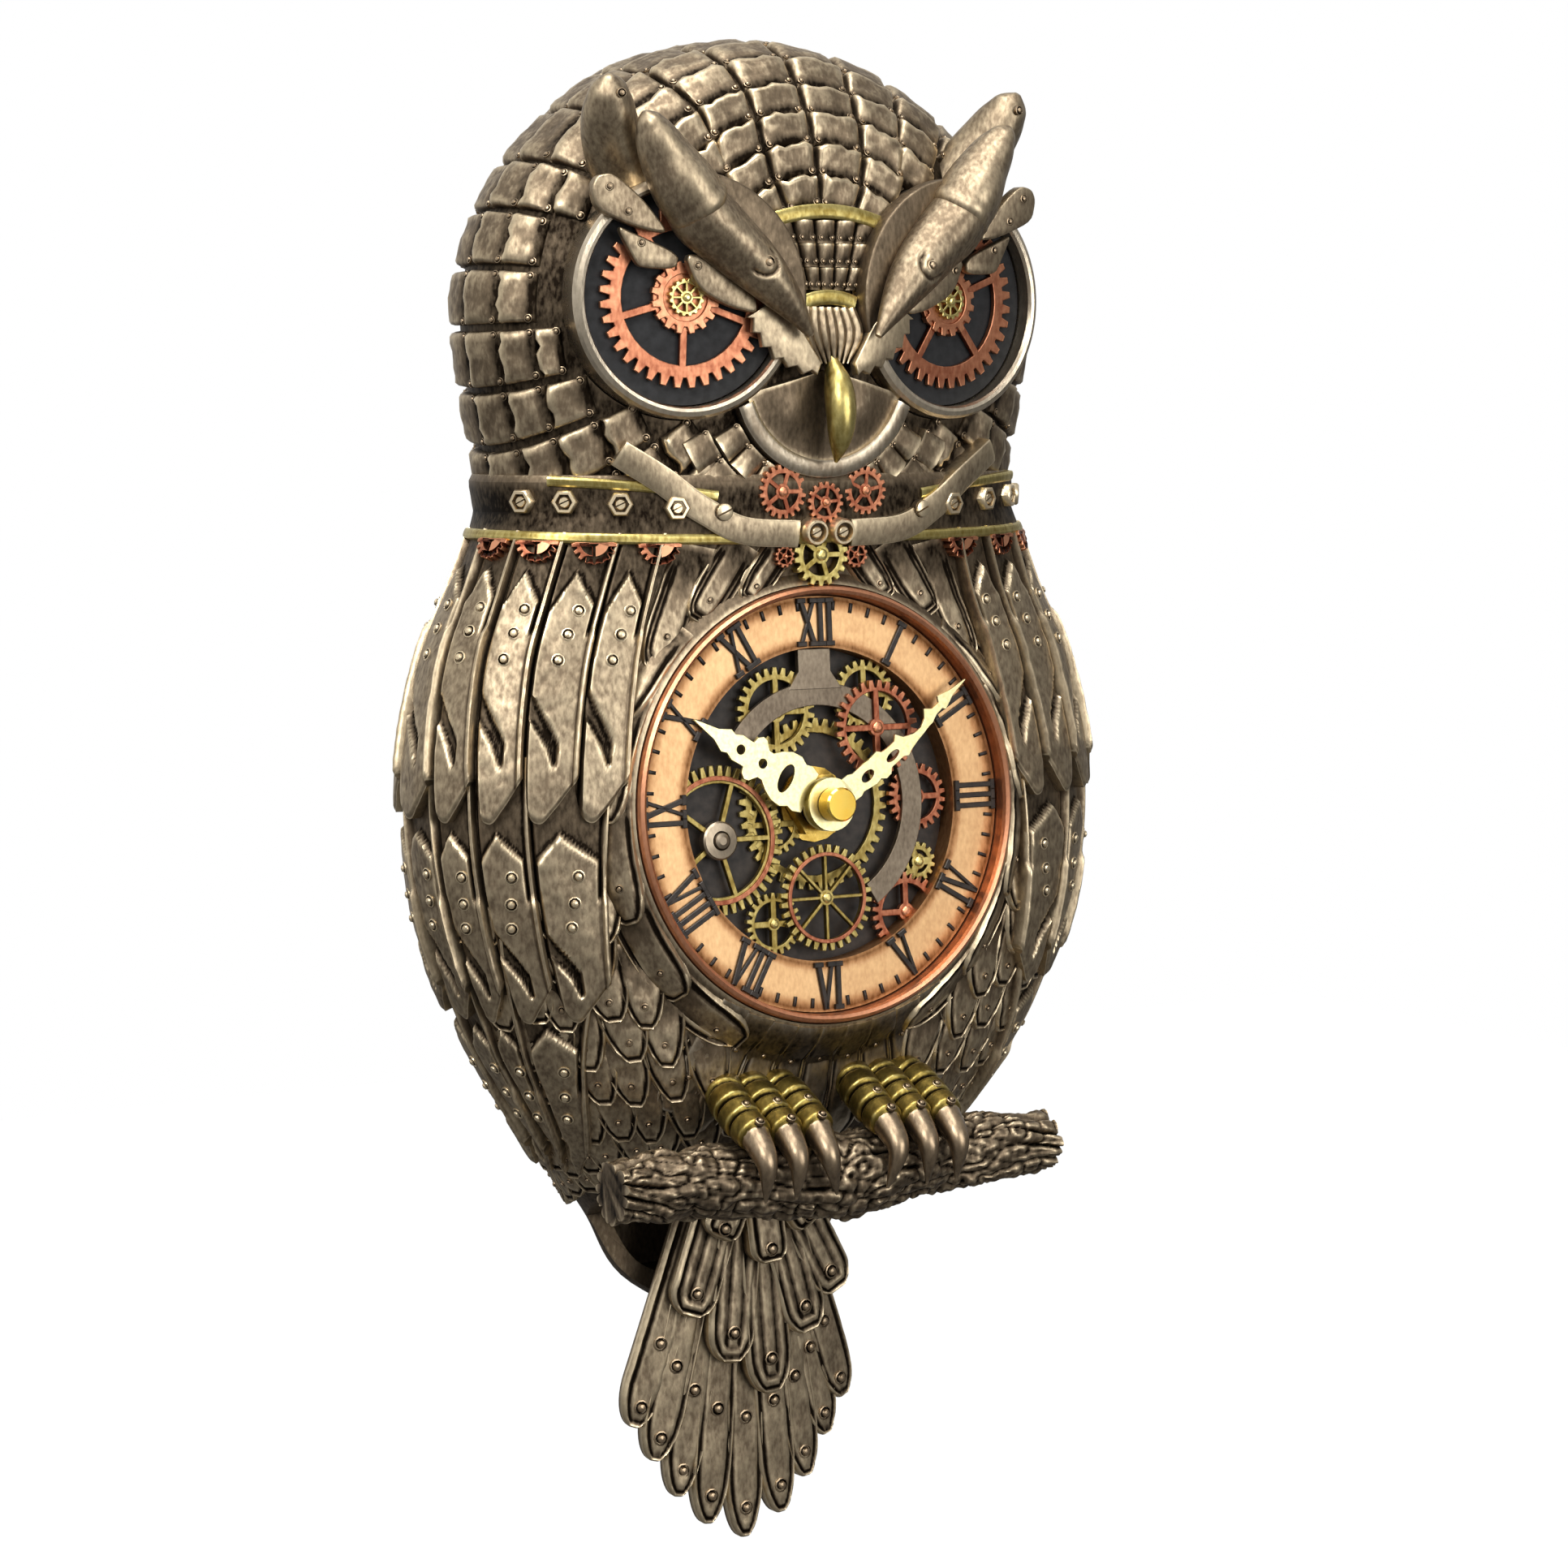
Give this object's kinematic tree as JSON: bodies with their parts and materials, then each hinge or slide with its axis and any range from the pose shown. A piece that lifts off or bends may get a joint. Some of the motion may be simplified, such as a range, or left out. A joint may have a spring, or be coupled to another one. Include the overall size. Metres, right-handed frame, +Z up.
{
  "type": "owl pendulum wall clock",
  "caption": "Hollow cast owl wall clock on a branch perch, with a geared dial in its chest, turning hands, a battery movement behind and a tail that swings as the pendulum.",
  "frame": {"origin": "middle of the hanger plate's rear face, on the wall", "axes": "+Z up the wall, the owl looks along -Y, +X to the viewer's right"},
  "size_m": [0.1764, 0.0748, 0.3455],
  "materials": {
    "bronze_casting": "cold-cast bronze resin, antiqued dark in the recesses and rubbed bright on the edges",
    "pale_bronze_casting": "cold-cast bronze resin, rubbed bright",
    "gold_casting": "cast resin, gold wash",
    "dial_casting": "cast dial, peach-gold wash with dark numerals",
    "copper_bezel": "cast ring, copper wash",
    "black_enamel": "black enamel",
    "copper_trim": "copper-coloured metal",
    "brass_trim": "brass, satin",
    "hand_aluminium": "champagne-gold anodised",
    "steel": "plated",
    "black_plastic": "fine spark texture",
    "white_plastic": "moulded acetal",
    "rubber": "matte",
    "board": "solder mask",
    "cell_jacket": "printed jacket"
  },
  "bodies": {
    "case": {"head_shell": "bronze_casting", "torso_shell": "bronze_casting", "wing_left": "bronze_casting", "wing_right": "bronze_casting", "brow_left": "pale_bronze_casting", "brow_right": "pale_bronze_casting", "eye_ring_left": "pale_bronze_casting", "eye_ring_right": "pale_bronze_casting", "eye_disc_left": "black_enamel", "eye_disc_right": "black_enamel", "eye_gear_left": "copper_trim", "eye_gear_right": "copper_trim", "chin_plate": "bronze_casting", "beak": "gold_casting", "collar_band": "bronze_casting", "collar_clasp": "pale_bronze_casting", "throat_gear": "brass_trim", "dial_bezel": "copper_bezel", "dial_plate": "dial_casting", "dial_bridge": "brass_trim", "dial_ring_gear": "brass_trim", "dial_gear_upper": "copper_trim", "dial_gear_left": "brass_trim", "dial_gear_lower": "copper_trim", "dial_gear_right": "brass_trim", "dial_washer": "brass_trim", "fixing_nut": "brass_trim", "gasket": "rubber", "movement_case": "black_plastic", "movement_cover": "black_plastic", "battery": "cell_jacket", "contact_positive": "steel", "contact_negative": "steel", "circuit_board": "board", "stator": "steel", "step_coil": "copper_trim", "drive_coil": "copper_trim", "perch_branch": "bronze_casting", "foot_left": "gold_casting", "foot_right": "gold_casting", "hanger_plate": "steel", "hanger_screw_left": "steel", "hanger_screw_right": "steel"},
    "minute": {"minute_hand": "hand_aluminium", "hand_nut": "brass_trim", "minute_arbor": "steel"},
    "hour": {"hour_hand": "hand_aluminium", "hour_wheel": "white_plastic"},
    "minute_wheel": {"minute_wheel": "white_plastic"},
    "setting_knob": {"setting_knob": "white_plastic"},
    "centre_wheel": {"centre_wheel": "white_plastic"},
    "third_wheel": {"third_wheel": "white_plastic"},
    "second_wheel": {"second_wheel": "white_plastic"},
    "intermediate_wheel": {"intermediate_wheel": "white_plastic"},
    "rotor": {"rotor": "steel"},
    "pendulum": {"pendulum_lever": "white_plastic", "lever_magnet": "steel", "pendulum_rod": "steel", "tail_bob": "bronze_casting"}
  },
  "joints": [
    {"name": "minute_hand_turn", "type": "hinge", "parent": "case", "child": "minute", "pos_m": [0, -0.03536, -0.1264], "axis": [0, 0.9972, -0.075], "continuous": true},
    {"name": "hour_hand_turn", "type": "hinge", "parent": "case", "child": "hour", "pos_m": [0, -0.03536, -0.1264], "axis": [0, 0.9972, -0.075], "continuous": true},
    {"name": "minute_wheel_turn", "type": "hinge", "parent": "case", "child": "minute_wheel", "pos_m": [0.01139, -0.03504, -0.12227], "axis": [0, 0.9972, -0.075], "continuous": true},
    {"name": "setting_knob_turn", "type": "hinge", "parent": "case", "child": "setting_knob", "pos_m": [0.02351, -0.03504, -0.12227], "axis": [0, 0.9972, -0.075], "continuous": true},
    {"name": "rotor_turn", "type": "hinge", "parent": "case", "child": "rotor", "pos_m": [-0.01622, -0.03333, -0.09948], "axis": [0, 0.9972, -0.075], "continuous": true},
    {"name": "intermediate_wheel_turn", "type": "hinge", "parent": "case", "child": "intermediate_wheel", "pos_m": [-0.01622, -0.03395, -0.10768], "axis": [0, 0.9972, -0.075], "continuous": true},
    {"name": "second_wheel_turn", "type": "hinge", "parent": "case", "child": "second_wheel", "pos_m": [-0.00702, -0.03435, -0.11298], "axis": [0, 0.9972, -0.075], "continuous": true},
    {"name": "third_wheel_turn", "type": "hinge", "parent": "case", "child": "third_wheel", "pos_m": [-0.01343, -0.03518, -0.12404], "axis": [0, 0.9972, -0.075], "continuous": true},
    {"name": "centre_wheel_turn", "type": "hinge", "parent": "case", "child": "centre_wheel", "pos_m": [0, -0.03536, -0.1264], "axis": [0, 0.9972, -0.075], "continuous": true},
    {"name": "pendulum_swing", "type": "hinge", "parent": "case", "child": "pendulum", "pos_m": [0, -0.02009, -0.08342], "axis": [0, 0.9972, -0.075], "range_deg": [-5, 5]}
  ],
  "couplings": [
    {"joint": "hour_hand_turn", "follows": "minute_hand_turn", "ratio": 0.083333},
    {"joint": "minute_wheel_turn", "follows": "minute_hand_turn", "ratio": -0.33333},
    {"joint": "setting_knob_turn", "follows": "minute_hand_turn", "ratio": 1},
    {"joint": "intermediate_wheel_turn", "follows": "rotor_turn", "ratio": -0.2},
    {"joint": "second_wheel_turn", "follows": "rotor_turn", "ratio": 0.033333},
    {"joint": "third_wheel_turn", "follows": "rotor_turn", "ratio": -0.0041667},
    {"joint": "centre_wheel_turn", "follows": "rotor_turn", "ratio": 0.00055556}
  ]
}
